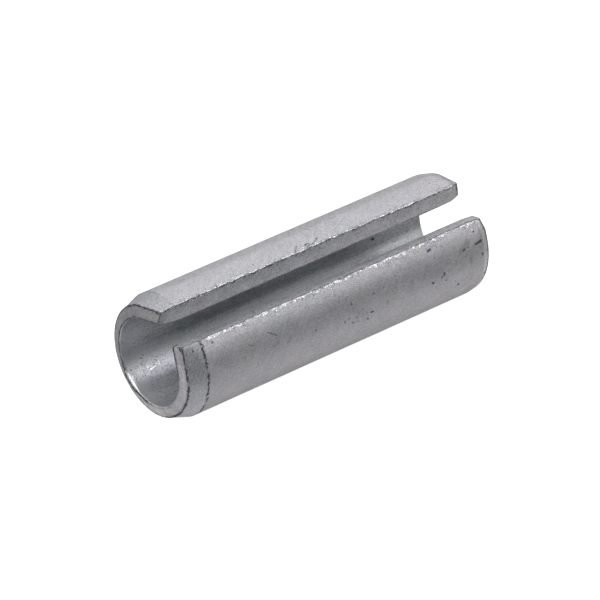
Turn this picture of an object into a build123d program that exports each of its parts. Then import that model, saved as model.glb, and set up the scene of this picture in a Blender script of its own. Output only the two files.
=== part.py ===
from build123d import *
import os
from dataclasses import dataclass
from math import cos, radians, sin

# Slotted spring pin: one strip of spring steel rolled into a C and swaged at both ends.
# Lengths are millimetres and angles are degrees.
# The axis is X through the middle of the pin, and the slot opens upwards, towards +Z.

# The rolled strip as it is before it is pressed into its hole.
length = 32.0
outer_diameter = 10.75
wall = 1.45

# The slot, across the outer and the inner edges of the two lips.
slot_mouth = 3.56
slot_root = 1.66

# Rolling leaves the lips almost flat. The round stretch ends at the lip angle, counted from
# the middle of the slot, and a tight bend through the lip turn leads from there into the flat.
lip_angle = 45.0
lip_turn = 16.0
lip_bend = 1.65

# A small bevel breaks the four long edges of the lips.
lip_edge_break = 0.12

# Swaging tapers each end over a length, draws in its outside and its bore, and leans its face
# back from the bore to the outer edge. It also changes how far round the flats reach.
near_taper = 1.9
near_draw = 0.5
near_neck = 0.12
near_lean = 0.27
near_lip_angle = 62.0
near_lip_turn = 18.0

far_taper = 1.2
far_draw = 0.17
far_neck = 0.05
far_lean = 0.05
far_lip_angle = 45.0
far_lip_turn = 6.0

# The tapers start on a section whose flats stand a little proud of the lips.
taper_start_turn = 15.0

# A bevel breaks the outer edge of each end face, and is widest at the far end.
near_break = 0.08
far_break = 0.3

# One lip had the corners of the strip eased, which widens the root of the slot at both ends.
near_easing = 0.3
far_easing = 0.08
easing_length = 2.6

outer_radius = outer_diameter / 2
bore_radius = outer_radius - wall
bore_bend = lip_bend - wall
half_length = length / 2


@dataclass
class End:
    """One swaged end. Its side is -1 for the near end and 1 for the far one."""

    side: int
    taper: float
    draw: float
    neck: float
    lean: float
    edge_break: float
    angle: float
    turn: float

    def place(self, depth):
        """The X of a section that lies this deep in from the tip."""
        return self.side * (half_length - depth)

    def skin(self, depth, radius, bend):
        """The outline of the swaged end at this depth."""
        return skin(self.place(depth), radius, bend, self.angle, self.turn)


near_end = End(
    side=-1,
    taper=near_taper,
    draw=near_draw,
    neck=near_neck,
    lean=near_lean,
    edge_break=near_break,
    angle=near_lip_angle,
    turn=near_lip_turn,
)
far_end = End(
    side=1,
    taper=far_taper,
    draw=far_draw,
    neck=far_neck,
    lean=far_lean,
    edge_break=far_break,
    angle=far_lip_angle,
    turn=far_lip_turn,
)


def polar(radius, angle):
    """A point of the section, with its angle counted from the middle of the slot."""
    return Vector(radius * sin(radians(angle)), radius * cos(radians(angle)))


def flat_height(radius, bend, angle, turn, across):
    """How high the flat of a lip stands at a distance from the middle of the slot."""
    lean = radians(angle - turn)
    from_axis = (radius - bend) * cos(radians(turn)) + bend
    return (from_axis - across * sin(lean)) / cos(lean)


def skin(x, radius, bend, angle=lip_angle, turn=lip_turn):
    """A closed outline at x: round stretch, bends and flats, which run on to shut the slot."""
    bend_centre = polar(radius - bend, angle)
    arc_end = polar(radius, angle)
    bend_middle = bend_centre + polar(bend, angle - turn / 2)
    bend_end = bend_centre + polar(bend, angle - turn)
    peak = Vector(0, flat_height(radius, bend, angle, turn, 0))

    def mirrored(point):
        return Vector(-point.X, point.Y)

    with BuildSketch(Plane.YZ.offset(x)) as sketch:
        with BuildLine():
            ThreePointArc(arc_end, (0, -radius), mirrored(arc_end))
            ThreePointArc(mirrored(arc_end), mirrored(bend_middle), mirrored(bend_end))
            Line(mirrored(bend_end), peak)
            Line(peak, bend_end)
            ThreePointArc(bend_end, bend_middle, arc_end)
        make_face()
    return sketch.sketch


def bar(radius, bend):
    """The parallel stretch between the two tapers."""
    return extrude(skin(near_taper - half_length, radius, bend), length - near_taper - far_taper)


def tapered_outside(end):
    """The outside of one end, from the rim of its bore to where its taper starts."""
    end_radius = outer_radius - end.draw
    rim = end.skin(0, bore_radius - end.neck, bore_bend)
    face_edge = end.skin(end.lean, end_radius - end.edge_break, lip_bend)
    bevel_edge = end.skin(end.lean + end.edge_break, end_radius, lip_bend)
    start = skin(end.place(end.taper), outer_radius, lip_bend, turn=taper_start_turn)
    limit = extrude(skin(end.place(end.taper), outer_radius, lip_bend), end.side * end.taper)
    return loft([rim, face_edge, bevel_edge, start], ruled=True) & limit


def necked_hollow(end):
    """The hollow of one end, drawn in over the length of its taper."""
    rim = end.skin(0, bore_radius - end.neck, bore_bend)
    start = skin(end.place(end.taper), bore_radius, bore_bend)
    return loft([rim, start], ruled=True)


def slot_section(x, easing):
    """The V of the slot at x, with the bevels that break the four long edges of the lips."""
    root_height = flat_height(bore_radius, bore_bend, lip_angle, lip_turn, slot_root / 2)
    mouth_height = flat_height(outer_radius, lip_bend, lip_angle, lip_turn, slot_mouth / 2)
    root = Vector(slot_root / 2, root_height)
    mouth = Vector(slot_mouth / 2, mouth_height)
    along_face = (mouth - root).normalized()
    along_flat = polar(1, 90 + lip_angle - lip_turn)
    face_low = root + along_face * lip_edge_break
    face_high = mouth - along_face * lip_edge_break
    bore_end = face_low + (along_flat - along_face) * wall
    outer_end = face_high + (along_flat + along_face) * wall
    above = Vector(outer_end.X, outer_radius + wall)
    half = [bore_end, face_low, face_high, outer_end, above]
    shift = Vector(easing, 0)
    eased = [bore_end + shift, face_low + shift, face_high, outer_end, above]
    corners = [(p.X, p.Y) for p in eased] + [(-p.X, p.Y) for p in reversed(half)]
    with BuildSketch(Plane.YZ.offset(x)) as sketch:
        Polygon(*corners, align=None)
    return sketch.sketch


def slot():
    """What the slot takes out, with the eased corners at both ends."""
    plain_start = slot_section(easing_length - half_length, 0)
    plain_end = slot_section(half_length - easing_length, 0)
    middle = extrude(plain_start, length - 2 * easing_length)
    near = loft([slot_section(-half_length, near_easing), plain_start], ruled=True)
    far = loft([plain_end, slot_section(half_length, far_easing)], ruled=True)
    return near + middle + far


def spring_pin():
    """The finished pin."""
    outside = bar(outer_radius, lip_bend) + tapered_outside(near_end) + tapered_outside(far_end)
    hollow = bar(bore_radius, bore_bend) + necked_hollow(near_end) + necked_hollow(far_end)
    return outside - hollow - slot()


os.makedirs("parts", exist_ok=True)
pin = spring_pin()
export_step(pin, "parts/spring_pin.step")
print("volume", round(pin.volume, 3), "valid", pin.is_valid, "solids", len(pin.solids()))
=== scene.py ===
"""Looks of a slotted spring pin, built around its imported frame.

Sizes of the pin are millimetres and are turned into metres when its mesh is made.
Everything else is metres. The axis of the pin is X, and its slot opens towards +Z.
The +Y lip is the flatter one, and the -Y lip is the fuller one.
"""

import logging
from dataclasses import dataclass, field
from enum import Enum
from functools import reduce
from typing import NamedTuple

import bpy
import numpy as np
from bpy.types import Material, Node, NodeSocket, NodeTree, Object, World
from mathutils import Matrix, Vector


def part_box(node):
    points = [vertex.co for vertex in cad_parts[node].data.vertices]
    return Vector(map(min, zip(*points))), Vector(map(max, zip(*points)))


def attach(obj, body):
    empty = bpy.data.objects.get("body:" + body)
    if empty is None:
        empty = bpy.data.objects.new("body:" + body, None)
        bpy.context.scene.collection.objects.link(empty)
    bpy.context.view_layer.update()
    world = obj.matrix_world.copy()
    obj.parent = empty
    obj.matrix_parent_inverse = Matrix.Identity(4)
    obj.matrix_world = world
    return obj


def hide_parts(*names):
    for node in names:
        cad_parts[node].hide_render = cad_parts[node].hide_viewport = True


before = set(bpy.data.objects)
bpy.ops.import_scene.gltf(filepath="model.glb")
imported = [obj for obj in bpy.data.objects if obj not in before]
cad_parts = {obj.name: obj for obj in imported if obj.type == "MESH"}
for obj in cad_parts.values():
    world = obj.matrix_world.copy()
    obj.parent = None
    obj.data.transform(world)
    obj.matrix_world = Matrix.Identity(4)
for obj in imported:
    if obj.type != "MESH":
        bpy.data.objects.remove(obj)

logging.basicConfig(level=logging.INFO, format="%(message)s")
log = logging.getLogger("spring_pin_looks")

MM = 0.001
NODE = "spring_pin"
PLACE = "strip_place"
MARKS = "strip_marks"
GLINTS = "strip_glints"
WHITE = (1.0, 1.0, 1.0, 1.0)

Array = np.ndarray
Pair = tuple[float, float]
Triple = tuple[float, float, float]


class Face(Enum):
    """The four kinds of surface of the rolled strip, by material index."""

    SKIN = 0
    BORE = 1
    LIP_FACE = 2
    END_FACE = 3


class End(Enum):
    """The two ends of the pin, by the sign of their X."""

    NEAR = -1
    FAR = 1


def polar(radius: float, angle: Array) -> Array:
    """Gives (Y, Z) points of a section from their angles off the middle of the slot."""
    angle = np.asarray(angle, float)
    return np.stack([radius * np.sin(angle), radius * np.cos(angle)], axis=-1)


def share_of(value: Array, low: float, high: float) -> Array:
    """Rises evenly from 0 at low to 1 at high, or falls where high is the lower one."""
    return np.clip((value - low) / (high - low), 0.0, 1.0)


def smooth(value: Array, low: float, high: float) -> Array:
    """Rises smoothly from 0 at low to 1 at high, or falls where high is the lower one."""
    share = share_of(value, low, high)
    return share * share * (3.0 - 2.0 * share)


@dataclass(frozen=True)
class Raggedness:
    """Repeatable noise along one line, for edges that were sheared and rolled."""

    seed: int
    pitch: float
    octaves: int = 4
    fade: float = 0.6
    knot_count: int = 4096

    def at(self, along: Array) -> Array:
        """Gives the noise at places along the line.

        Args:
            along: places in millimetres.

        Returns:
            Values of about -1 to 1.
        """
        total = np.zeros_like(along, dtype=float)
        strength = 1.0
        whole = 0.0
        for octave in range(self.octaves):
            knots = np.random.default_rng(self.seed + octave).uniform(-1.0, 1.0, self.knot_count)
            where = along * 2.0**octave / self.pitch + self.knot_count / 4
            low = np.floor(where).astype(int)
            blend = smooth(where - low, 0.0, 1.0)
            first = knots[low % self.knot_count]
            second = knots[(low + 1) % self.knot_count]
            total += strength * (first * (1.0 - blend) + second * blend)
            whole += strength
            strength *= self.fade
        return total / whole


@dataclass(frozen=True)
class Ripple:
    """Repeatable noise over the developed strip, for skins that were never quite true."""

    seed: int
    pitch: float
    side: int = 256

    def at(self, along: Array, across: Array) -> Array:
        """Gives the noise at places of the strip.

        Args:
            along: places along the pin in millimetres.
            across: places round the pin in millimetres.

        Returns:
            Values of -1 to 1.
        """
        knots = np.random.default_rng(self.seed).uniform(-1.0, 1.0, (self.side, self.side))
        where = np.stack([along, across]) / self.pitch + self.side / 4
        low_x, low_y = np.floor(where).astype(int)
        blend_x, blend_y = smooth(where - np.floor(where), 0.0, 1.0)
        rows = []
        for step in (0, 1):
            first = knots[(low_x + step) % self.side, low_y % self.side]
            second = knots[(low_x + step) % self.side, (low_y + 1) % self.side]
            rows.append(first * (1.0 - blend_y) + second * blend_y)
        return rows[0] * (1.0 - blend_x) + rows[1] * blend_x


@dataclass(frozen=True)
class Width:
    """Where the round stretch, the bend and the flat end across the developed half strip."""

    round_end: float
    bend_end: float
    edge: float


@dataclass(frozen=True)
class Outline:
    """One skin of the strip in a section: a round stretch, a bend and a flat on each side."""

    radius: float
    bend: float
    angle: float
    turn: float

    @property
    def lean(self) -> float:
        """How far the flat leans from level, in radians."""
        return float(np.radians(self.angle - self.turn))

    @property
    def rise(self) -> float:
        """Distance of the flat's line from the axis."""
        return (self.radius - self.bend) * float(np.cos(np.radians(self.turn))) + self.bend

    def flat_height(self, across: float) -> float:
        """Height of the flat at a distance from the middle of the slot."""
        return (self.rise - across * np.sin(self.lean)) / np.cos(self.lean)

    def bend_tip(self) -> Array:
        """The point where the bend runs out into the flat."""
        centre = polar(self.radius - self.bend, np.radians(self.angle))
        return centre + polar(self.bend, self.lean)

    def sweep(self, share: Array, lip: Array) -> Array:
        """Gives points of one even arc from the end of the round stretch to the edge of the lip.

        Args:
            share: 0 at the round stretch and 1 at the edge.
            lip: the edge's (Y, Z).

        Returns:
            An array of (Y, Z) pairs.
        """
        limit = np.radians(self.angle)
        start = polar(self.radius, limit)
        chord = lip - start
        heading = np.arctan2(np.sin(limit), -np.cos(limit))
        swing = np.arctan2(chord[1], chord[0]) - heading
        reach = np.linalg.norm(chord) * np.sin(swing * share) / np.sin(swing)
        toward = heading + swing * share
        return start + reach[:, None] * np.stack([np.cos(toward), np.sin(toward)], axis=-1)

    def points(self, across: Array, width: Width, edge: float, fullness: Array) -> Array:
        """Gives the points of one half of the outline.

        Args:
            across: places from the bottom of the pin, 0, to the edge of the lip.
            width: where the stretches of the strip end.
            edge: distance of the lip's edge from the middle of the slot.
            fullness: 0 for a bend and a flat lip, and 1 for a lip that curves evenly.

        Returns:
            An array of (Y, Z) pairs with Y positive.
        """
        on_round = share_of(across, 0.0, width.round_end)
        on_bend = share_of(across, width.round_end, width.bend_end)
        on_flat = np.maximum((across - width.bend_end) / (width.edge - width.bend_end), 0.0)
        on_lip = np.maximum((across - width.round_end) / (width.edge - width.round_end), 0.0)
        limit = np.radians(self.angle)
        arc = polar(self.radius, np.pi - on_round * (np.pi - limit))
        centre = polar(self.radius - self.bend, limit)
        bend = centre + polar(self.bend, limit - np.radians(self.turn) * on_bend)
        tip = self.bend_tip()
        lip = np.array([edge, self.flat_height(edge)])
        flat = tip + (lip - tip) * on_flat[:, None]
        bent = np.where((across > width.bend_end)[:, None], flat, bend)
        lips = bent + (self.sweep(on_lip, lip) - bent) * fullness[:, None]
        return np.where((across > width.round_end)[:, None], lips, arc)


class MarkKind(Enum):
    """The kinds of mark on the strip, by their place in the mesh's field of marks. A GLINT is a
    painted glint.
    """

    DARK = 0
    SMUDGE = 1
    BLUE = 2
    GLINT = 3


@dataclass(frozen=True)
class Mark:
    """One mark on the strip, by its (along, across) ends in millimetres."""

    start: Pair
    end: Pair
    width: float
    strength: float = 1.0
    wear_and_light: MarkKind = MarkKind.DARK
    depth: float = 0.0

    def cover(self, strip: Array) -> Array:
        """Gives the mark's strength, which falls evenly to 0 at its width.

        Args:
            strip: (along, across, depth) of each point.

        Returns:
            A value of 0 to 1 for each point.
        """
        first = np.array([*self.start, self.depth])
        run = np.array([*self.end, self.depth]) - first
        share = np.clip((strip - first) @ run / max(float(run @ run), 1e-9), 0.0, 1.0)
        apart = np.linalg.norm(strip - first - share[:, None] * run, axis=1)
        return self.strength * np.clip(1.0 - apart / self.width, 0.0, 1.0)


# Marks on the strip by (along, across) in millimetres. GLINT marks are painted glints.
MARKS_SEEN = (
    Mark((30.32, -13.12), (31.02, -13.2), 0.14, 1.8),
    Mark((29.65, -13.55), (28.7, -12.95), 0.4, 0.85, MarkKind.SMUDGE),
    Mark((29.2, -13.08), (28.95, -13.03), 0.17, 1.1),
    Mark((29.5, -13.12), (29.52, -13.12), 0.16, 1.1),
    Mark((29.3, -13.2), (29.32, -13.2), 0.15, 1.0, MarkKind.GLINT),
    Mark((29.7, -12.2), (29.67, -11.75), 0.4, 0.75, MarkKind.SMUDGE),
    Mark((29.15, -12.45), (29.15, -12.3), 0.3, 0.5, MarkKind.SMUDGE),
    Mark((30.95, -12.1), (30.97, -11.95), 0.2, 0.95),
    Mark((30.45, -14.3), (30.47, -14.3), 0.18, 1.0, MarkKind.GLINT),
    Mark((30.45, -14.15), (30.5, -14.15), 0.16, 0.9),
    Mark((28.4, -10.0), (28.45, -9.95), 0.2, 1.0),
    Mark((26.75, -11.85), (26.7, -11.65), 0.18, 0.95),
    Mark((26.45, -11.6), (26.5, -11.5), 0.17, 0.75),
    Mark((25.45, -11.4), (25.55, -11.35), 0.2, 0.95),
    Mark((30.8, -9.9), (30.82, -9.9), 0.17, 0.7),
    Mark((19.05, -11.22), (18.85, -11.2), 0.16, 1.1),
    Mark((18.5, -10.68), (18.52, -10.68), 0.17, 1.2),
    Mark((17.6, -11.65), (17.5, -11.55), 0.15, 0.85),
    Mark((17.3, -11.4), (17.32, -11.3), 0.17, 0.8),
    Mark((17.9, -11.9), (17.95, -11.85), 0.18, 0.8),
    Mark((18.0, -11.28), (18.02, -11.28), 0.17, 0.75),
    Mark((18.4, -11.4), (18.45, -11.3), 0.16, 0.7),
    Mark((16.85, -12.8), (16.9, -12.6), 0.16, 0.85),
    Mark((16.95, -12.35), (16.97, -12.35), 0.16, 0.7),
    Mark((16.9, -11.0), (16.95, -10.95), 0.17, 0.9),
    Mark((16.05, -11.5), (16.05, -11.3), 0.15, 0.8),
    Mark((16.5, -11.5), (16.6, -11.55), 0.17, 0.75),
    Mark((17.45, -10.9), (17.45, -10.85), 0.18, 0.6),
    Mark((17.2, -12.5), (17.25, -12.45), 0.3, 0.6, MarkKind.SMUDGE),
    Mark((17.0, -11.95), (18.4, -11.5), 0.7, 0.4, MarkKind.SMUDGE),
    Mark((19.25, -12.8), (19.3, -12.75), 0.24, 0.75),
    Mark((20.6, -11.6), (20.6, -11.45), 0.35, 0.7, MarkKind.SMUDGE),
    Mark((17.85, -13.85), (17.9, -13.85), 0.17, 0.6),
    Mark((13.0, -11.8), (13.05, -11.85), 0.2, 0.8),
    Mark((10.1, -11.8), (10.4, -12.2), 0.35, 0.6, MarkKind.SMUDGE),
    Mark((8.6, -12.1), (9.2, -12.2), 0.3, 0.7, MarkKind.SMUDGE),
    Mark((8.3, -13.4), (9.1, -12.85), 0.15, 0.75),
    Mark((6.2, -13.1), (6.7, -12.8), 0.16, 0.6),
    Mark((7.0, -11.0), (7.05, -11.05), 0.2, 0.6),
    Mark((3.0, -14.45), (3.1, -14.5), 0.18, 0.85),
    Mark((1.0, -14.55), (1.05, -14.5), 0.18, 0.9),
    Mark((0.05, -14.95), (0.4, -14.95), 0.32, 1.4, depth=1.3),
    Mark((0.1, -14.9), (0.15, -14.9), 0.26, 1.3, depth=0.3),
    Mark((15.1, 14.25), (14.5, 14.85), 0.12, 0.9),
    Mark((14.8, 14.8), (14.6, 14.9), 0.13, 1.0, MarkKind.GLINT),
    Mark((17.25, 14.3), (16.85, 14.55), 0.13, 0.9),
    Mark((16.85, 14.55), (16.3, 14.85), 0.11, 0.8),
    Mark((17.3, 14.12), (17.0, 14.25), 0.13, 0.9, MarkKind.GLINT),
    Mark((16.2, 14.6), (15.9, 14.47), 0.12, 0.9),
    Mark((15.9, 14.47), (15.65, 14.65), 0.12, 0.9),
    Mark((16.2, 14.72), (15.7, 14.88), 0.12, 0.85),
    Mark((16.6, 14.85), (16.65, 14.85), 0.16, 1.0, MarkKind.GLINT),
    Mark((15.3, 14.9), (15.35, 14.9), 0.17, 1.0, MarkKind.GLINT),
    Mark((0.3, 14.8), (0.6, 14.8), 0.14, 1.0, MarkKind.GLINT),
    Mark((1.2, 14.82), (2.6, 14.82), 0.13, 0.9, MarkKind.GLINT),
    Mark((3.4, 14.82), (3.9, 14.82), 0.14, 1.0, MarkKind.GLINT),
    Mark((0.0, 0.15), (0.0, -0.45), 0.2, 1.7, depth=0.9),
    Mark((0.0, -0.95), (0.0, -1.3), 0.22, 1.7, depth=1.15),
    Mark((0.0, -1.85), (0.0, -2.1), 0.22, 1.7, depth=1.2),
    Mark((0.0, -2.6), (0.0, -2.9), 0.24, 1.7, depth=1.22),
    Mark((17.3, 12.55), (17.5, 13.0), 0.15, 0.7),
    Mark((20.0, 12.65), (20.4, 12.7), 0.25, 0.7, MarkKind.SMUDGE),
    Mark((3.6, 13.75), (3.65, 13.75), 0.17, 0.6),
    Mark((4.6, 13.4), (4.65, 13.35), 0.25, 0.6, MarkKind.SMUDGE),
    Mark((2.0, 13.9), (2.02, 13.9), 0.17, 0.8),
    Mark((28.3, 13.1), (28.35, 13.1), 0.2, 0.5),
    Mark((26.75, 4.55), (26.85, 4.55), 0.22, 1.3, depth=1.45),
    Mark((2.7, 0.15), (2.72, 0.15), 0.2, 0.9, depth=1.45),
    Mark((2.3, 2.75), (1.6, 2.45), 0.12, 0.8, depth=1.45),
    Mark((2.3, 2.95), (1.6, 2.65), 0.12, 0.8, MarkKind.GLINT, depth=1.45),
    Mark((2.4, 4.2), (2.45, 4.1), 0.16, 0.7, depth=1.45),
    Mark((1.55, -2.1), (1.58, -2.1), 0.3, 1.5, MarkKind.GLINT, depth=1.45),
    Mark((0.8, -2.9), (0.82, -2.9), 0.17, 1.0, MarkKind.GLINT, depth=1.45),
    Mark((27.3, 14.93), (27.5, 14.93), 0.22, 0.8, depth=0.7),
    Mark((25.5, -14.2), (25.8, -14.25), 0.18, 1.2, MarkKind.BLUE),
)


@dataclass(frozen=True)
class SwagedEnd:
    """How one end was drawn in. Lengths are millimetres and angles are degrees.

    Each pair is for the +Y and the -Y lip.
    """

    side: End
    taper: float
    draw: float
    neck: float
    lean: float
    angle: float
    turn: float
    easing: float
    outer_round: float
    inner_round: float
    fullness: Pair
    cut_back: Pair
    cut_reach: Pair = (3.5, 1.3)
    worn_at: float = 0.9
    worn_from: float = 2.7
    worn_fully: float = 0.5
    worn_round: float = 0.0
    rounding_reach: float = 0.5

    def rim_round(self, across: Array) -> Array:
        """Gives the radius that rounds the bore's rim, which is worn most in one place."""
        apart = np.abs(across - self.worn_at)
        return self.inner_round + self.worn_round * smooth(apart, self.worn_from, self.worn_fully)


@dataclass(frozen=True)
class LipEdges:
    """The ragged edges that shearing and rolling left along the slot.

    Each pair is for the +Y and the -Y lip. A burr is a steady part and a share of its teeth and
    of its swell, and the levels are taken away before a burr or a notch moves the edge.
    """

    outer_round: float = 0.16
    inner_round: float = 0.12
    seed: tuple[int, int] = (11, 47)
    hang: Pair = (0.19, 0.075)
    tooth: Pair = (0.5, 0.9)
    swell: float = 5.0
    burr: Triple = (0.5, 1.1, 0.35)
    burr_limit: float = 1.4
    hang_level: float = 0.45
    lift: float = 0.02
    lift_level: float = 0.6
    reach: float = 0.13
    notch: float = 0.05
    notch_pitch: float = 1.7
    notch_level: float = 0.35
    root_sway: float = 0.02
    root_pitch: float = 1.4


@dataclass(frozen=True)
class RolledStrip:
    """The one piece of the pin: a strip rolled into a C with swaged ends."""

    length: float = 32.0
    outer_radius: float = 5.375
    wall: float = 1.45
    slot_mouth: float = 3.56
    slot_root: float = 1.66
    lip_angle: float = 45.0
    lip_turn: float = 16.0
    lip_bend: float = 1.65
    easing_length: float = 2.6
    fullness: Pair = (0.12, 1.0)
    ripple_height: float = 0.006
    slow_ripple: Ripple = Ripple(5, 2.3)
    quick_ripple: Ripple = Ripple(8, 0.75)
    ripple_shares: Pair = (0.65, 0.35)
    corner_round: float = 0.11
    flat_side: Pair = (3.0, 7.0)
    flat_round: float = 0.2
    far_press: float = 0.12
    far_press_reach: float = 0.95
    face_ripple: Ripple = Ripple(21, 0.9)
    face_hollow: float = 0.012
    face_reach: float = 0.02
    ragged_reach: float = 0.4
    outer_share: Pair = (0.45, 0.25)
    edge_steps: tuple[float, ...] = (0.0, 0.03, 0.065, 0.11, 0.17, 0.25, 0.36)
    step_along: float = 0.13
    fine_reach: float = 5.6
    fine_count: int = 42
    round_count: int = 34
    wall_count: int = 5
    near: SwagedEnd = SwagedEnd(
        side=End.NEAR,
        taper=1.9,
        draw=0.526,
        neck=0.12,
        lean=0.27,
        angle=62.0,
        turn=18.0,
        easing=0.3,
        outer_round=0.09,
        inner_round=0.2,
        fullness=(0.1, 0.35),
        cut_back=(0.2, 0.0),
        worn_round=0.24,
    )
    far: SwagedEnd = SwagedEnd(
        side=End.FAR,
        taper=1.2,
        draw=0.17,
        neck=0.05,
        lean=0.05,
        angle=45.0,
        turn=6.0,
        easing=0.08,
        outer_round=0.42,
        inner_round=0.07,
        fullness=(0.2, 1.0),
        cut_back=(0.15, 0.3),
        rounding_reach=0.6,
    )
    edges: LipEdges = LipEdges()

    @property
    def half(self) -> float:
        """Half the length of the pin."""
        return self.length / 2.0

    def body_outline(self, inner: bool) -> Outline:
        """Gives the outer or the inner skin between the two tapers.

        Args:
            inner: True for the bore's side.

        Returns:
            The skin's outline.
        """
        inset = self.wall if inner else 0.0
        radius, bend = self.outer_radius - inset, self.lip_bend - inset
        return Outline(radius, bend, self.lip_angle, self.lip_turn)

    def end_outline(self, end: SwagedEnd, inner: bool) -> Outline:
        """Gives the outer or the inner skin at the tip of a swaged end.

        Args:
            end: the swaged end.
            inner: True for the bore's side.

        Returns:
            The skin's outline.
        """
        body = self.body_outline(inner)
        drawn = end.neck if inner else end.draw
        return Outline(body.radius - drawn, body.bend, end.angle, end.turn)

    def width(self) -> Width:
        """Measures the developed half strip along the outer skin.

        Returns:
            Where its stretches end.
        """
        body = self.body_outline(inner=False)
        round_end = body.radius * float(np.pi - np.radians(body.angle))
        bend_end = round_end + body.bend * float(np.radians(body.turn))
        mouth = self.slot_mouth / 2.0
        lip = np.array([mouth, body.flat_height(mouth)])
        flat = float(np.linalg.norm(body.bend_tip() - lip))
        return Width(round_end, bend_end, bend_end + flat)

    def lip_distance(self, outline: Outline) -> float:
        """Gives how far an outline's lip edge lies from the middle of the slot.

        Args:
            outline: the skin, which the slanted side of the slot cuts.

        Returns:
            The distance, on the same slanted plane at every section.
        """
        root = self.slot_root / 2.0
        mouth = self.slot_mouth / 2.0
        root_height = self.body_outline(inner=True).flat_height(root)
        mouth_height = self.body_outline(inner=False).flat_height(mouth)
        slant = (mouth - root) / (mouth_height - root_height)
        level = outline.rise / np.cos(outline.lean) - root_height
        return float((root + slant * level) / (1.0 + slant * np.tan(outline.lean)))

    def swaging(self, end: SwagedEnd, along: Array) -> Array:
        """Gives how far an end is drawn in, from 0 where its taper starts to 1 at its tip."""
        return share_of(end.side.value * along, self.half - end.taper, self.half)

    def skin(self, along: Array, across: Array, inner: bool) -> Array:
        """Gives points of one skin.

        Args:
            along: X of each point before its end face leans.
            across: place of each point across the developed strip, signed by lip.
            inner: True for the bore's side.

        Returns:
            An array of (Y, Z) pairs.
        """
        width = self.width()
        distance = np.abs(across)
        on_flat_lip = across > 0.0
        body = self.body_outline(inner)
        fullness = np.where(on_flat_lip, *self.fullness)
        points = body.points(distance, width, self.lip_distance(body), fullness)
        shaped = points.copy()
        for end in (self.near, self.far):
            outline = self.end_outline(end, inner)
            fullness = np.where(on_flat_lip, *end.fullness)
            tip = outline.points(distance, width, self.lip_distance(outline), fullness)
            share = self.swaging(end, along)[:, None]
            shaped += (share * share if inner else share) * (tip - points)
            if inner:
                flat = np.maximum((distance - width.bend_end) / (width.edge - width.bend_end), 0.0)
                reach = share_of(end.side.value * along, self.half - self.easing_length, self.half)
                ease = end.easing * reach * flat * on_flat_lip
                shaped += np.stack([ease, -ease * np.tan(outline.lean)], axis=-1)
        shaped[:, 0] *= np.sign(across)
        return shaped

    def place(self, strip: Array) -> Array:
        """Turns places of the flat strip into places of the rolled one.

        Args:
            strip: (along, across, depth) of each point.

        Returns:
            (X, Y, Z) of each point.
        """
        along, across, depth = strip.T
        outer = self.skin(along, across, inner=False)
        inner = self.skin(along, across, inner=True)
        share = depth / self.wall
        from_edge = self.width().edge - np.abs(across)
        x = along.copy()
        for end in (self.near, self.far):
            reach = np.where(across > 0.0, *end.cut_reach)
            cut = np.where(across > 0.0, *end.cut_back) * smooth(from_edge / reach, 1.0, 0.0)
            set_back = end.lean * (1.0 - share) + cut
            x -= end.side.value * set_back * self.swaging(end, along)
        return np.column_stack([x, outer + (inner - outer) * share[:, None]])

    def grid_lines(self) -> tuple[Array, Array, Array]:
        """Lays out the lines of the mesh, which are closer together at the edges.

        Returns:
            Their places along, across and through the strip.
        """
        edge = self.width().edge
        close = np.array(self.edge_steps)
        last = close[-1]
        count = int(round((self.length - 2 * last) / self.step_along))
        run = np.linspace(last - self.half, self.half - last, count + 1)
        along = np.concatenate([close[:-1] - self.half, run, self.half - close[-2::-1]])
        fine_from = edge - self.fine_reach
        coarse = np.linspace(0.0, fine_from, self.round_count)[:-1]
        fine = np.linspace(fine_from, edge - last, self.fine_count)
        side = np.concatenate([coarse, fine, edge - close[-2::-1]])
        across = np.concatenate([-side[:0:-1], side])
        middle = np.linspace(last, self.wall - last, self.wall_count)
        through = np.concatenate([close[:-1], middle, self.wall - close[-2::-1]])
        return along, across, through

    def rounded(self, strip: Array) -> Array:
        """Rounds the twelve edges of the flat strip.

        Args:
            strip: (along, across, depth) of points on the faces of the sharp strip.

        Returns:
            The same points on the rounded strip.
        """
        along, across, depth = strip.T
        outer = smooth(depth / self.wall, *self.outer_share)
        at_near = smooth(self.half + along, self.near.rounding_reach, 0.0)
        at_far = smooth(self.half - along, self.far.rounding_reach, 0.0)
        flatter = (self.flat_round - self.far.outer_round) * smooth(across, *self.flat_side)
        lips = outer * self.edges.outer_round + (1.0 - outer) * self.edges.inner_round
        near = outer * self.near.outer_round + (1.0 - outer) * self.near.rim_round(across)
        far = outer * (self.far.outer_round + flatter) + (1.0 - outer) * self.far.inner_round
        in_depth = lips + at_near * (near - lips) + at_far * (far - lips)
        in_length = np.where(along < 0.0, near, far)
        radius = np.column_stack([in_length, np.full_like(along, self.corner_round), in_depth])
        edge = self.width().edge
        low = np.array([-self.half, -edge, 0.0]) + radius
        high = np.array([self.half, edge, self.wall]) - radius
        core = np.clip(strip, low, high)
        away = (strip - core) / radius
        away /= np.maximum(np.linalg.norm(away, axis=1), 1.0)[:, None]
        return core + away * radius

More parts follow.
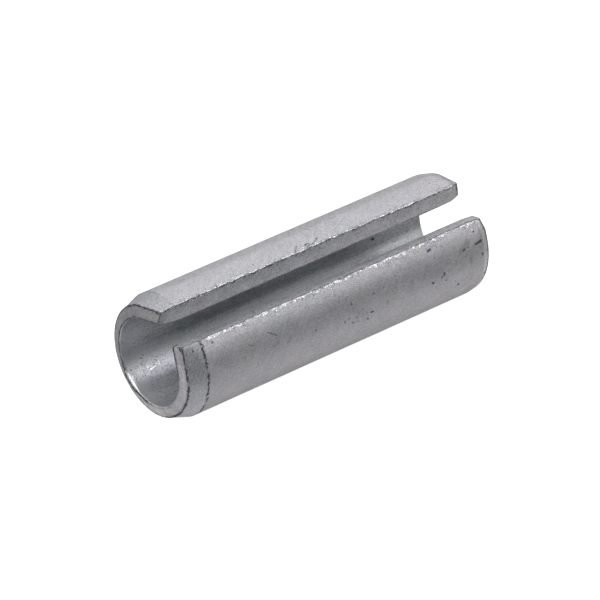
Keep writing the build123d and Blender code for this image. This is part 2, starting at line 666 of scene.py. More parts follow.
    def worn(self, strip: Array) -> Array:
        """Makes the lip edges ragged and the skins slightly untrue.

        Args:
            strip: (along, across, depth) of points on the rounded strip.

        Returns:
            The same points, moved within the strip's own space.
        """
        along, across, depth = strip.T
        edges = self.edges
        moved = strip.copy()
        inside = share_of(self.half - np.abs(along), 0.0, self.ragged_reach)
        for side, seed, hang, tooth in zip((1.0, -1.0), edges.seed, edges.hang, edges.tooth):
            teeth = Raggedness(seed, tooth, fade=0.75).at(along)
            swell = Raggedness(seed + 9, edges.swell, octaves=2).at(along)
            burr = edges.burr[0] + edges.burr[1] * teeth + edges.burr[2] * swell
            burr = np.clip(burr, 0.0, edges.burr_limit) * inside
            nicks = Raggedness(seed + 23, edges.notch_pitch, octaves=3).at(along) - edges.notch_level
            from_edge = self.width().edge - side * across
            own = side * across > 0.0
            top = own * np.exp(-((np.hypot(from_edge, depth) / edges.reach) ** 2))
            root = own * np.exp(-((np.hypot(from_edge, self.wall - depth) / edges.reach) ** 2))
            moved[:, 1] += side * top * hang * (burr - edges.hang_level)
            moved[:, 2] -= top * edges.lift * (burr - edges.lift_level)
            moved[:, 2] += top * edges.notch * np.clip(nicks, 0.0, 1.0) * inside
            sway = Raggedness(seed + 31, edges.root_pitch).at(along)
            moved[:, 1] += side * root * edges.root_sway * sway
        slow = self.ripple_shares[0] * self.slow_ripple.at(along, across)
        quick = self.ripple_shares[1] * self.quick_ripple.at(along, across)
        sink = self.ripple_height * (1.0 + slow + quick)
        outer = smooth(depth, 0.5 * self.wall, 0.1 * self.wall)
        inner = smooth(depth, 0.5 * self.wall, 0.9 * self.wall)
        pressed = self.far_press * share_of(self.half - along, self.far_press_reach, 0.0)
        moved[:, 2] += sink * (outer - inner)
        moved[:, 2] += pressed * smooth(across, *self.flat_side) * outer
        on_face = np.abs(along) > self.half - self.face_reach
        hollow = self.face_hollow * (1.0 + self.face_ripple.at(across, depth))
        moved[:, 0] -= np.sign(along) * on_face * hollow
        return moved

    def sharp_grid(self) -> tuple[Array, Array, Array]:
        """Lays a grid on the six faces of the flat strip.

        Returns:
            (along, across, depth) of each point, the corners of each quad and each quad's kind.
        """
        along, across, through = self.grid_lines()
        last_a, last_d = len(across) - 1, len(through) - 1
        to_a, to_d = np.arange(last_a), np.arange(last_d)
        ring_a = np.concatenate([to_a, np.full(last_d, last_a), last_a - to_a, np.zeros(last_d, int)])
        ring_d = np.concatenate([np.zeros(last_a, int), to_d, np.full(last_a, last_d), last_d - to_d])
        ring = len(ring_a)
        rows = len(along)
        tube = [np.repeat(along, ring), np.tile(across[ring_a], rows), np.tile(through[ring_d], rows)]
        points = [np.column_stack(tube)]
        faces = (Face.SKIN.value, Face.LIP_FACE.value, Face.BORE.value, Face.LIP_FACE.value)
        kinds = [np.tile(np.repeat(faces, (last_a, last_d, last_a, last_d)), rows - 1)]
        first = np.arange(ring)
        second = np.roll(first, -1)
        cells = np.stack([first, second, ring + second, ring + first], axis=-1)
        quads = [(ring * np.arange(rows - 1)[:, None, None] + cells).reshape(-1, 4)]
        count = len(points[0])
        inner_a, inner_d = np.meshgrid(across[1:-1], through[1:-1], indexing="ij")
        for row, order in ((0, 1), (rows - 1, -1)):
            index = np.zeros((last_a + 1, last_d + 1), int)
            index[ring_a, ring_d] = row * ring + first
            index[1:-1, 1:-1] = count + np.arange(inner_a.size).reshape(inner_a.shape)
            count += inner_a.size
            cap = [np.full(inner_a.size, along[row]), inner_a.ravel(), inner_d.ravel()]
            points.append(np.column_stack(cap))
            corners = (index[:-1, :-1], index[:-1, 1:], index[1:, 1:], index[1:, :-1])
            cells = np.stack(corners, axis=-1).reshape(-1, 4)
            quads.append(cells[:, ::order])
            kinds.append(np.full(len(cells), Face.END_FACE.value))
        return np.concatenate(points), np.concatenate(quads), np.concatenate(kinds)

    def build(self) -> Object:
        """Builds the mesh of the strip.

        Returns:
            The new object, at the origin, with its place in its mesh.
        """
        sharp, quads, kinds = self.sharp_grid()
        strip = self.rounded(sharp)
        low, high = (np.array(corner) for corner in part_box(NODE))
        points = np.clip(self.place(self.worn(strip)) * MM, low, high)
        mesh = bpy.data.meshes.new("rolled_strip")
        mesh.from_pydata(points.tolist(), [], quads.tolist())
        mesh.polygons.foreach_set("material_index", kinds.astype(np.int32))
        mesh.polygons.foreach_set("use_smooth", np.ones(len(quads), bool))
        places = strip + np.array([self.half, 0.0, 0.0])
        marks = np.zeros((len(places), len(MarkKind)))
        for mark in MARKS_SEEN:
            column = marks[:, mark.wear_and_light.value]
            np.maximum(column, mark.cover(places), out=column)
        for name, kind, item, values in (
            (PLACE, "FLOAT_VECTOR", "vector", places),
            (MARKS, "FLOAT_VECTOR", "vector", marks[:, : MarkKind.GLINT.value]),
            (GLINTS, "FLOAT", "value", marks[:, MarkKind.GLINT.value]),
        ):
            attribute = mesh.attributes.new(name, kind, "POINT")
            attribute.data.foreach_set(item, values.astype(np.float32).ravel())
        mesh.update()
        strip_object = bpy.data.objects.new("rolled_strip", mesh)
        bpy.context.scene.collection.objects.link(strip_object)
        return strip_object

    def dress(self, strip_object: Object, materials: dict[Face, Material]) -> None:
        """Gives the strip its finishes, parents it to the root body and hides the part that it
        replaces.

        Args:
            strip_object: the built strip.
            materials: a material for each kind of face.
        """
        for face in Face:
            strip_object.data.materials.append(materials[face])
        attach(strip_object, "root")
        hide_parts(NODE)


class Value:
    """One output in a node tree. Sums and products of it add Math nodes to the tree."""

    def __init__(self, tree: "Tree", socket: NodeSocket) -> None:
        """Wraps an output of a tree."""
        self.tree = tree
        self.socket = socket

    def __add__(self, other: "Input") -> "Value":
        """Adds another value."""
        return self.tree.math("ADD", self, other)

    def __sub__(self, other: "Input") -> "Value":
        """Takes another value away."""
        return self.tree.math("SUBTRACT", self, other)

    def __rsub__(self, other: float) -> "Value":
        """Takes this value away from a number."""
        return self.tree.math("SUBTRACT", other, self)

    def __mul__(self, other: "Input") -> "Value":
        """Multiplies by another value."""
        return self.tree.math("MULTIPLY", self, other)

    def __abs__(self) -> "Value":
        """Drops the sign."""
        return self.tree.math("ABSOLUTE", self)

    def peak(self, other: "Input") -> "Value":
        """Gives the larger of this and another value."""
        return self.tree.math("MAXIMUM", self, other)

    def ramp(
        self, low: "Input", high: "Input", at_low: "Input" = 0.0, at_high: "Input" = 1.0
    ) -> "Value":
        """Changes smoothly from one value to another as this one goes from low to high.

        Args:
            low: where the change starts.
            high: where it ends.
            at_low: the value before it.
            at_high: the value after it.

        Returns:
            The changed value.
        """
        node = self.tree.add("ShaderNodeMapRange", interpolation_type="SMOOTHSTEP")
        for socket, item in zip(node.inputs, (self, low, high, at_low, at_high)):
            self.tree.feed(socket, item)
        return Value(self.tree, node.outputs["Result"])

    def noise(
        self,
        scale: "Input",
        detail: float = 3.0,
        roughness: float = 0.55,
        shift: Triple | None = None,
        stretch: "Input | None" = None,
    ) -> "Value":
        """Reads a noise at this place.

        Args:
            scale: how fine the noise is.
            detail: how many finer layers it has.
            roughness: how strong the finer layers are.
            shift: what is added to the place first, so that two noises differ.
            stretch: what the place is multiplied by first.

        Returns:
            The noise, about 0.5 on average.
        """
        where = self
        if shift is not None:
            where = self.tree.vector("ADD", where, shift)
        if stretch is not None:
            where = self.tree.vector("MULTIPLY", where, stretch)
        inputs = {"Vector": where, "Scale": scale, "Detail": detail, "Roughness": roughness}
        return Value(self.tree, self.tree.add("ShaderNodeTexNoise", inputs).outputs["Fac"])


Input = Value | NodeSocket | NodeTree | float | tuple[float, ...]


class Tree:
    """A node tree that is being built."""

    def __init__(self, tree: NodeTree) -> None:
        """Starts on a tree, which is emptied."""
        self.tree = tree
        tree.nodes.clear()

    def feed(self, socket: NodeSocket, value: Input) -> None:
        """Links an input to an output, or sets it to a plain number or colour.

        Args:
            socket: the input.
            value: what it gets.
        """
        source = value.socket if isinstance(value, Value) else value
        if isinstance(source, NodeSocket):
            self.tree.links.new(source, socket)
        else:
            socket.default_value = source

    def add(
        self, kind: str, inputs: dict[str | int, Input] | None = None, **settings: object
    ) -> Node:
        """Adds a node.

        Args:
            kind: the node's type.
            inputs: what each input gets, by its name or its place.
            settings: properties of the node.

        Returns:
            The node.
        """
        node = self.tree.nodes.new(kind)
        for name, value in settings.items():
            setattr(node, name, value)
        for name, value in (inputs or {}).items():
            self.feed(node.inputs[name], value)
        return node

    def math(self, operation: str, *values: Input, clamp: bool = False) -> Value:
        """Adds a Math node.

        Args:
            operation: what it does.
            values: its inputs, in order.
            clamp: whether the result is kept between 0 and 1.

        Returns:
            Its result.
        """
        inputs = dict(enumerate(values))
        node = self.add("ShaderNodeMath", inputs, operation=operation, use_clamp=clamp)
        return Value(self, node.outputs[0])

    def vector(self, operation: str, *values: Input) -> Value:
        """Adds a Vector Math node and gives its vector, or its value for a dot product."""
        node = self.add("ShaderNodeVectorMath", dict(enumerate(values)), operation=operation)
        return Value(self, node.outputs["Value" if operation == "DOT_PRODUCT" else "Vector"])

    def blend(self, share: Input, first: Input, second: Input) -> Value:
        """Adds a colour Mix node and gives its colour."""
        inputs = {"Factor": share, "A": first, "B": second}
        return Value(self, self.add("ShaderNodeMix", inputs, data_type="RGBA").outputs["Result"])

    def group(self, group: NodeTree, **inputs: Input) -> dict[str, Value]:
        """Places a node group, feeds its named inputs and gives its outputs by name."""
        node = self.add("ShaderNodeGroup", inputs, node_tree=group)
        return {socket.name: Value(self, socket) for socket in node.outputs}


class Effect(Tree):
    """A shader node group that is being built."""

    def __init__(self, name: str, **inputs: float | None) -> None:
        """Starts a group.

        Args:
            name: the group's name.
            inputs: the default of each input, or None for a vector.
        """
        super().__init__(bpy.data.node_groups.new(name, "ShaderNodeTree"))
        for label, default in inputs.items():
            kind = "NodeSocketVector" if default is None else "NodeSocketFloat"
            socket = self.tree.interface.new_socket(name=label, in_out="INPUT", socket_type=kind)
            if default is not None:
                socket.default_value = default
        node = self.add("NodeGroupInput")
        self.given = [Value(self, node.outputs[label]) for label in inputs]

    def finish(self, **outputs: Value) -> NodeTree:
        """Ends the group.

        Args:
            outputs: the value of each output.

        Returns:
            The group.
        """
        for label in outputs:
            self.tree.interface.new_socket(name=label, in_out="OUTPUT", socket_type="NodeSocketFloat")
        self.add("NodeGroupOutput", outputs)
        return self.tree


def grain_effect() -> NodeTree:
    """Mottling of zinc plating: soft clouds, slanting wipes and a fine grain.

    Returns:
        The group.
    """
    effect = Effect("zinc_grain", Place=None, Slant=0.9, Stretch=4.0, Fineness=7.0)
    place, slant, stretch, fineness = effect.given
    turn = {"Vector": place, "Angle": slant}
    turned = effect.add("ShaderNodeVectorRotate", turn, rotation_type="Z_AXIS").outputs["Vector"]
    squeeze = effect.add("ShaderNodeCombineXYZ", {"X": 0.6, "Y": stretch, "Z": 1.0}).outputs["Vector"]
    clouds = place.noise(0.7, 4.0, 0.6) - 0.5
    wipes = Value(effect, turned).noise(0.9, 4.0, stretch=squeeze) - 0.5
    middle = place.noise(2.9, 2.0, 0.6) - 0.5
    fine = place.noise(fineness, 2.0, 0.7) - 0.5
    drift = place.noise(0.5, 3.0, 0.6, shift=(5.0, 3.0, 8.0))
    return effect.finish(
        Tone=clouds * 0.7 + wipes * 0.7 + middle * 0.8 + fine * 3.0,
        Height=clouds * 0.8 + wipes * 0.5 + middle + fine,
        Drift=drift.ramp(0.3, 0.7),
    )


def pits_effect() -> NodeTree:
    """Small pits and specks, scattered one to a cell where the cell's number is low enough.

    Returns:
        The group.
    """
    effect = Effect("zinc_pits", Place=None, Cells=1.2, Share=0.3, Size=0.2)
    place, fineness, share, size = effect.given
    stir = effect.add("ShaderNodeTexNoise", {"Vector": place, "Scale": 5.0}).outputs["Color"]
    shift = effect.vector("SUBTRACT", stir, (0.5, 0.5, 0.5))
    where = effect.vector("MULTIPLY_ADD", shift, (0.22, 0.22, 0.22), place)
    cells = effect.add("ShaderNodeTexVoronoi", {"Vector": where, "Scale": fineness})
    chance = effect.add("ShaderNodeSeparateColor", {"Color": cells.outputs["Color"]})
    reach = size * fineness * (Value(effect, chance.outputs["Red"]) * 0.75 + 0.25)
    spot = Value(effect, cells.outputs["Distance"]).ramp(reach, reach * 0.35)
    there = effect.math("LESS_THAN", chance.outputs["Green"], share)
    return effect.finish(Mask=spot * there)


def line_effect() -> NodeTree:
    """A dark line along an edge, uneven in width and broken in places.

    Returns:
        The group.
    """
    effect = Effect("edge_line", Place=None, Distance=0.0, Width=0.1, Breaks=0.45)
    place, distance, width, breaks = effect.given
    reach = width * place.noise(2.6, 4.0, 0.8).ramp(0.36, 0.68, 0.3, 2.0)
    gaps = place.noise(1.6, 4.0, 0.8, shift=(7.3, 2.1, 4.4))
    return effect.finish(Mask=distance.ramp(reach, reach * 0.3) * gaps.ramp(breaks, breaks + 0.1))


def marks_effect() -> NodeTree:
    """Turns the mesh's soft field of marks into marks with rough rims.

    Returns:
        The group.
    """
    effect = Effect("strip_marks", Place=None, Fields=None, Glints=0.0)
    place, fields, glints = effect.given
    parts = effect.add("ShaderNodeSeparateXYZ", {"Vector": fields}).outputs
    stir = (place.noise(4.2, 3.0, 0.7) - 0.5) * 0.5
    masks = {}
    for name, field_value, low, high in (
        ("Dark", Value(effect, parts["X"]), 0.25, 0.7),
        ("Smudge", Value(effect, parts["Y"]), 0.08, 0.95),
        ("Blue", Value(effect, parts["Z"]), 0.3, 0.7),
        ("Bright", glints, 0.25, 0.65),
    ):
        masks[name] = (stir + field_value).ramp(low, high) * field_value.ramp(0.0, 0.1)
    return effect.finish(**masks)


def fringe_effect() -> NodeTree:
    """Bright ragged metal along the outer edge of one lip, partly a painted glint, and dark nicks in
    it.

    Returns:
        The group.
    """
    effect = Effect("lip_fringe", Place=None, Distance=0.0, Reach=0.35, Gaps=0.4)
    place, distance, reach, gaps = effect.given
    swell = place.noise(0.6, 3.0, 0.7, shift=(3.0, 9.0, 1.0)).ramp(0.35, 0.65, 0.35, 1.5)
    width = place.noise(4.5, 3.0, 0.7).ramp(0.35, 0.65, 0.1, 0.37) * swell
    torn_and_glint = place.noise(1.9, 4.0, 0.75, shift=(6.0, 8.0, 2.0))
    crest = distance.ramp(width, width * 0.6) * torn_and_glint.ramp(gaps, gaps + 0.12, 0.15, 1.0)
    near = distance.ramp(reach * swell, 0.0)
    speck = place.noise(6.5, 2.0, 0.7, shift=(2.0, 1.0, 7.0))
    specks = (speck + near * 0.2 - 0.68).ramp(0.0, 0.07)
    nick = place.noise(4.8, 2.0, 0.7, shift=(11.0, 5.0, 2.0))
    nicks = (nick + near * 0.16 - 0.74).ramp(0.0, 0.06)
    return effect.finish(
        Bright=crest.peak(specks * near.ramp(0.0, 0.15)), Dark=nicks * near.ramp(0.0, 0.3)
    )


def flecks_effect() -> NodeTree:
    """Fine bright and dark flecks, thicker where the area input is higher.

    Returns:
        The group.
    """
    effect = Effect("zinc_flecks", Place=None, Area=0.0)
    place, area = effect.given
    bright = place.noise(4.6, 2.0, 0.7, shift=(4.0, 6.0, 3.0)) + area * 0.2 - 0.7
    dark = place.noise(5.4, 2.0, 0.7, shift=(9.0, 2.0, 5.0)) + area * 0.13 - 0.7
    return effect.finish(Bright=bright.ramp(0.0, 0.1) * area, Dark=dark.ramp(0.0, 0.1) * area)


@dataclass(frozen=True)
class Effects:
    """The node groups that the finishes share. Places and lengths in them are millimetres."""

    grain: NodeTree = field(default_factory=grain_effect)
    pits: NodeTree = field(default_factory=pits_effect)
    line: NodeTree = field(default_factory=line_effect)
    marks: NodeTree = field(default_factory=marks_effect)
    fringe: NodeTree = field(default_factory=fringe_effect)
    flecks: NodeTree = field(default_factory=flecks_effect)


class Surface(Tree):
    """The tree of one finish, with the places of the strip that it is drawn on."""

    def __init__(self, material: Material, strip: RolledStrip, effects: Effects) -> None:
        """Starts on an empty material.

        Args:
            material: the material, which uses nodes.
            strip: the strip, for the places of its edges.
            effects: the shared node groups.
        """
        super().__init__(material.node_tree)
        self.strip = strip
        self.effects = effects
        self.place = self.attribute(PLACE, "Vector")
        axes = self.add("ShaderNodeSeparateXYZ", {"Vector": self.place})
        self.along, self.across, self.depth = (Value(self, socket) for socket in axes.outputs)

    def attribute(self, name: str, output: str) -> Value:
        """Reads a field of the mesh."""
        node = self.add("ShaderNodeAttribute", attribute_type="GEOMETRY", attribute_name=name)
        return Value(self, node.outputs[output])

    def line(self, distance: Value, width: Input, breaks: Input, strength: Input) -> Value:
        """Draws an uneven dark line where a distance is near 0.

        Args:
            distance: how far each place lies from the line, in millimetres.
            width: how wide the line is.
            breaks: how much of it is missing.
            strength: how dark it is.

        Returns:
            The line's mask.
        """
        line = self.group(
            self.effects.line, Place=self.place, Distance=distance, Width=width, Breaks=breaks
        )
        return line["Mask"] * strength


@dataclass(frozen=True)
class Fade:
    """A smooth change from one value to another between two places, in millimetres."""

    start: float
    stop: float
    first: float = 0.0
    last: float = 1.0

    def at(self, place: Value) -> Value:
        """Gives the value at a place."""
        return place.ramp(self.start, self.stop, self.first, self.last)


class Stroke(NamedTuple):
    """How wide a drawn line is, in millimetres, how much of it is missing and how dark it is."""

    width: float
    breaks: float
    strength: float = 0.85


def product(values: list[Value]) -> Value:
    """Multiplies values."""
    return reduce(Value.__mul__, values)


@dataclass(frozen=True)
class ZincFinish:
    """Satin zinc plating, worn and marked, with painted light and shade, for one kind of face of the
    strip.
    """

    name: str
    colour: Triple = (0.71, 0.70, 0.735)
    tone: float = 0.5
    roughness: float = 0.42
    metallic: float = 0.92
    slant: float = 0.9
    stretch: float = 4.0
    fineness: float = 8.5
    relief: float = 0.00003
    pit_cells: float = 1.7
    pit_share: float = 0.3
    pit_size: float = 0.13
    pit_depth: float = 0.55
    mark_depth: float = 0.85
    smudge_depth: float = 0.4
    blue_depth: float = 0.85
    stain_and_shade: Triple = (0.035, 0.035, 0.039)
    blue: Triple = (0.02, 0.07, 0.21)
    warm: Triple = (1.012, 1.0, 0.988)
    cool: Triple = (0.988, 1.0, 1.012)
    drift: float = 1.0
    edge_tint: float = 0.7
    torn_and_glint: Triple = (0.97, 0.96, 1.0)
    torn_and_glint_cover: float = 0.9
    torn_and_glint_gloss: float = 0.26
    dirt_shine: float = 0.1
    stain_and_shade_dulling: float = 0.25
    stain_and_shade_cover: float = 0.75
    tone_gloss: float = 0.12
    torn_and_glint_rise: float = 0.8
    stain_and_shade_sink: float = 1.2

    def tinted(self, tint: Triple) -> tuple[float, float, float, float]:
        """Gives the colour under a tint, for a colour socket."""
        red, green, blue = (part * share for part, share in zip(self.colour, tint))
        return red, green, blue, 1.0

    def material(self, strip: RolledStrip, effects: Effects) -> Material:
        """Makes the material.

        Args:
            strip: the strip, for the places of its edges.
            effects: the shared node groups.

        Returns:
            The material.
        """
        material = bpy.data.materials.new(self.name)
        material.use_nodes = True
        face = Surface(material, strip, effects)
        place = face.place
        grain = face.group(
            effects.grain, Place=place, Slant=self.slant, Stretch=self.stretch, Fineness=self.fineness
        )
        pits = face.group(
            effects.pits, Place=place, Cells=self.pit_cells, Share=self.pit_share, Size=self.pit_size
        )
        fields = face.attribute(MARKS, "Vector")
        marks = face.group(
            effects.marks, Place=place, Fields=fields, Glints=face.attribute(GLINTS, "Fac")
        )
        lit, lines = self.wear_and_light(face)
        bright = reduce(Value.peak, [marks["Bright"], *lit])
        dirt = [pits["Mask"] * self.pit_depth, marks["Dark"] * self.mark_depth]
        dark = reduce(Value.peak, [*dirt, marks["Smudge"] * self.smudge_depth, *lines])
        tint = grain["Drift"] * self.drift
        cool = face.math("ADD", tint, self.coolness(face), clamp=True)
        hue = face.blend(cool, self.tinted(self.warm), self.tinted(self.cool))
        shade = (grain["Tone"] * self.tone + 1.0) * self.local_shade(face)
        scaled = face.add("ShaderNodeVectorMath", {"Vector": hue, "Scale": shade}, operation="SCALE")
        colour = face.blend(
            marks["Blue"] * self.blue_depth, scaled.outputs["Vector"], (*self.blue, 1.0)
        )
        # Bright masks whiten the colour: ragged lip edges, partly painted glints, and painted glints
        # and highlights.
        colour = face.blend(bright * self.torn_and_glint_cover, colour, (*self.torn_and_glint, 1.0))
        # Dark masks: pits, marks, smudges and dark edge lines, some of which are painted shade.
        colour = face.blend(dark, colour, (*self.stain_and_shade, 1.0))
        height = grain["Height"] + bright * self.torn_and_glint_rise - dark * self.stain_and_shade_sink
        bump = face.add("ShaderNodeBump", {"Distance": self.relief, "Height": height})
        gloss = bright * self.torn_and_glint_gloss - grain["Tone"] * self.tone_gloss
        shader = face.add(
            "ShaderNodeBsdfPrincipled",
            {
                "Base Color": colour,
                "Metallic": self.metallic - dark * self.stain_and_shade_cover,
                "Roughness": self.roughness - gloss + dark * self.stain_and_shade_dulling,
                "Specular Tint": (self.edge_tint, self.edge_tint, self.edge_tint, 1.0),
                "Specular IOR Level": self.dirt_shine,
                "Normal": bump.outputs["Normal"],
            },
        )
        face.add("ShaderNodeOutputMaterial", {"Surface": shader.outputs["BSDF"]})
        return material

    def local_shade(self, face: Surface) -> Value:
        """Gives what the colour is multiplied by. Each kind of face has its own."""
        raise NotImplementedError

    def coolness(self, face: Surface) -> Value | float:
        """Gives what is added to the share of the cooler tint, which is nothing here."""
        return 0.0

    def wear_and_light(self, face: Surface) -> tuple[list[Value], list[Value]]:
        """Gives bright and dark edge masks, some painted light and shade. Each kind of face has its
        own.
        """
        raise NotImplementedError


@dataclass(frozen=True)
class SkinFinish(ZincFinish):
    """The outside of the strip.

    The band is the swaged stretch of the near end, and the fold is the line that it starts at.
    """

    fold_at: float = 1.93
    fold_shade: Pair = (-0.05, 0.08)
    fold_wander: float = 0.22
    fold_width: Fade = Fade(-14.0, -10.0, 0.19, 0.12)
    fold_breaks: float = 0.4
    fold_flat: Fade = Fade(9.0, 8.0, 0.35, 1.0)
    fold_lip: Fade = Fade(13.4, 12.0, 0.0, 0.9)
    band_full: Fade = Fade(-11.0, -8.0, 0.98, 1.1)
    band_flat: Fade = Fade(6.0, 10.0, 1.0, 0.77)
    band_cool: float = 0.7
    flat_lip: Fade = Fade(12.6, 14.9, 1.0, 1.12)
    full_lip: Fade = Fade(-10.5, -8.5, 0.93, 1.0)
    silhouette_shade: Fade = Fade(10.3, 11.0, 0.72, 1.0)
    silhouette_shade_stop: Fade = Fade(9.0, 6.0)
    far_rim: tuple[Fade, Fade] = (Fade(0.9, 0.65), Fade(0.33, 0.42))
    far_rim_side: Fade = Fade(0.0, 6.0, 0.35, 0.0)
    far_bevel_shade: Fade = Fade(0.4, 0.3)
    far_bevel_shade_side: Fade = Fade(4.0, 8.0, 0.0, 0.12)
    far_shade_at: Fade = Fade(-12.0, -8.5, 0.22, 0.42)
    far_shade_stroke: Stroke = Stroke(0.2, 0.12, 1.0)
    far_shade_side: Fade = Fade(-4.0, 4.0, 0.65, 0.25)
    warm_side: Fade = Fade(11.0, 8.5, 0.0, -0.7)
    warm_far: Fade = Fade(26.0, 31.0, 0.0, -0.5)
    tip: Stroke = Stroke(0.16, 0.36)
    flat_fringe: Fade = Fade(25.5, 28.5, 1.0, 0.35)
    full_fringe: Fade = Fade(1.83, 2.23)
    fringe_lap: float = 0.1
    nick_depth: float = 0.5

    def local_shade(self, face: Surface) -> Value:
        """Darkens the swaged band and fuller lip, lightens the flatter lip's edge, and paints light
        and shade.

        Args:
            face: the finish's tree.

        Returns:
            What the colour is multiplied by.
        """
        across = face.across
        to_far = face.strip.length - face.along
        grit = face.place.noise(4.5, 3.0, 0.7) - 0.5
        band_side = self.band_full.at(across) * self.band_flat.at(across)
        low, high = (self.fold_at + step for step in self.fold_shade)
        band = face.along.ramp(low, high, grit + band_side, 1.0)
        # Painted highlight: a lighter strip on the rounding of the far end.
        rim = self.far_rim[0].at(to_far) * self.far_rim[1].at(to_far) * self.far_rim_side.at(across)
        # Painted shade on the flatter side's far edge, where it turns away.
        bevel_shade = self.far_bevel_shade.at(to_far) * self.far_bevel_shade_side.at(across)
        # Painted shade along the silhouette band of the flatter side.
        silhouette_band_shade = self.silhouette_shade.at(across).peak(self.silhouette_shade_stop.at(across))
        lips = self.flat_lip.at(across) * self.full_lip.at(across)
        return band * (rim + 1.0) * (1.0 - bevel_shade) * silhouette_band_shade * lips

    def coolness(self, face: Surface) -> Value:
        """Makes the swaged band cooler, and the lower sides and the far end warmer.

        Args:
            face: the finish's tree.

        Returns:
            What is added to the share of the cooler tint.
        """
        half = -self.fold_shade[0]
        band = face.along.ramp(self.fold_at + half, self.fold_at - half, 0.0, self.band_cool)
        return band + self.warm_side.at(abs(face.across)) + self.warm_far.at(face.along)

    def wear_and_light(self, face: Surface) -> tuple[list[Value], list[Value]]:
        """Draws the lips' ragged fringes, partly painted glints, the fold's line and those at the end
        faces.

        Args:
            face: the finish's tree.

        Returns:
            The bright masks and the dark ones.
        """
        along, across = face.along, face.across
        wander = (face.place.noise(1.4, 3.0) - 0.5) * self.fold_wander + self.fold_at
        width = self.fold_width.at(across)
        shown = self.fold_flat.at(across) * self.fold_lip.at(across)
        fold = face.line(abs(along - wander), width, self.fold_breaks, shown)
        tip = face.line(along, *self.tip)
        # Painted shade: a dark line where the far end's rounding turns away.
        from_bevel = face.strip.length - along - self.far_shade_at.at(across)
        far_tip = face.line(from_bevel, *self.far_shade_stroke) * self.far_shade_side.at(across)
        edge = face.strip.width().edge
        from_flat = edge - self.fringe_lap - across
        fringe, place = face.effects.fringe, face.place
        flat = face.group(fringe, Place=place, Distance=from_flat, Reach=0.5, Gaps=0.41)
        full = face.group(fringe, Place=place, Distance=across + edge, Reach=1.0, Gaps=0.38)
        nicks = flat["Dark"].peak(full["Dark"]) * self.nick_depth
        flat_bright = flat["Bright"] * self.flat_fringe.at(along)
        full_bright = full["Bright"] * self.full_fringe.at(along)
        return [flat_bright, full_bright], [fold, tip, far_tip, nicks]


@dataclass(frozen=True)
class BoreFinish(ZincFinish):
    """The inside of the strip, smoother and glossier than its outside, with painted shade far inside.
    """

    deep_shade_side: Fade = Fade(2.8, 4.1, 0.0, -0.4)
    deep_shade_along: tuple[Fade, Fade] = (Fade(1.5, 9.0), Fade(30.5, 23.0, 0.35, 1.0))
    far_dim: tuple[Fade, Fade] = (Fade(22.0, 29.0), Fade(3.6, 2.2, 0.0, -0.54))
    highlight_at: float = 1.4
    highlight_band_at: float = 2.6
    highlight_band: Fade = Fade(1.4, 0.3, 1.0, 1.22)
    glow_side: tuple[Fade, Fade] = (Fade(-3.4, -1.8), Fade(2.0, 1.0))
    glow: Fade = Fade(1.6, 0.4, 0.0, 0.5)
    drawn: float = 0.48
    mouth_light: Fade = Fade(4.0, 1.0, 1.0, 1.1)
    mouth_cool: tuple[Fade, Fade] = (Fade(7.0, 3.0), Fade(3.0, 1.6, 0.0, 1.5))
    mouth_middle: float = 2.0
    deep_warm: float = -0.45
    flecks: tuple[Fade, Fade] = (Fade(7.5, 2.5), Fade(1.9, 0.4))
    fleck_depth: float = 0.5
    rim: tuple[Fade, Fade] = (Fade(0.28, 0.1, 0.0, 0.8), Fade(2.1, 0.8))
    rim_middle: float = 2.1
    root: Stroke = Stroke(0.2, 0.2, 0.6)

    def local_shade(self, face: Surface) -> Value:
        """Paints shade far inside the bore and towards its far end, and light at its mouth and
        highlight.

        Args:
            face: the finish's tree.

        Returns:
            What the colour is multiplied by.
        """
        along, across = face.along, face.across
        # Painted shade far inside the bore, on the side under the flatter lip.
        deep = product([fade.at(along) for fade in self.deep_shade_along]) * self.deep_shade_side.at(across)
        # Painted shade dimming the bore's reflection towards its far end.
        far = self.far_dim[0].at(along) * self.far_dim[1].at(across)
        # Painted highlight: a lighter band beside the highlight.
        highlight_band = self.highlight_band.at(abs(across - self.highlight_band_at))
        # Painted light: a glow at the mouth near the bottom of the bore.
        glow = product([fade.at(across) for fade in self.glow_side]) * self.glow.at(along)
        drawn = (face.place.noise(1.5, 3.0, 0.65, stretch=(0.1, 2.4, 1.0)) - 0.5) * self.drawn
        # Painted light: lighter towards the mouth.
        lit = drawn + self.mouth_light.at(along)
        return (deep + 1.0) * (far + 1.0) * highlight_band * (glow + 1.0) * lit

    def coolness(self, face: Surface) -> Value:
        """Makes the bright side of the mouth bluer."""
        apart = abs(face.across - self.mouth_middle)
        return self.mouth_cool[0].at(face.along) * self.mouth_cool[1].at(apart) + self.deep_warm

    def wear_and_light(self, face: Surface) -> tuple[list[Value], list[Value]]:
        """Draws the mouth's flecks and painted glints, a painted highlight on its worn rim and a
        painted shade line.

        Args:
            face: the finish's tree.

        Returns:
            The bright masks and the dark ones.
        """
        along, across = face.along, face.across
        # Painted shade: a dark line where the bore meets the flatter lip's face.
        root = face.line(face.strip.width().edge - across, *self.root)
        # The bright flecks where the highlight falls are painted glints.
        area = self.flecks[0].at(along) * self.flecks[1].at(abs(across - self.highlight_at))
        flecks = face.group(face.effects.flecks, Place=face.place, Area=area)
        # Painted highlight on the worn rim of the mouth.
        rim = self.rim[0].at(along) * self.rim[1].at(abs(across - self.rim_middle))
        return [flecks["Bright"], rim], [root, flecks["Dark"] * self.fleck_depth]


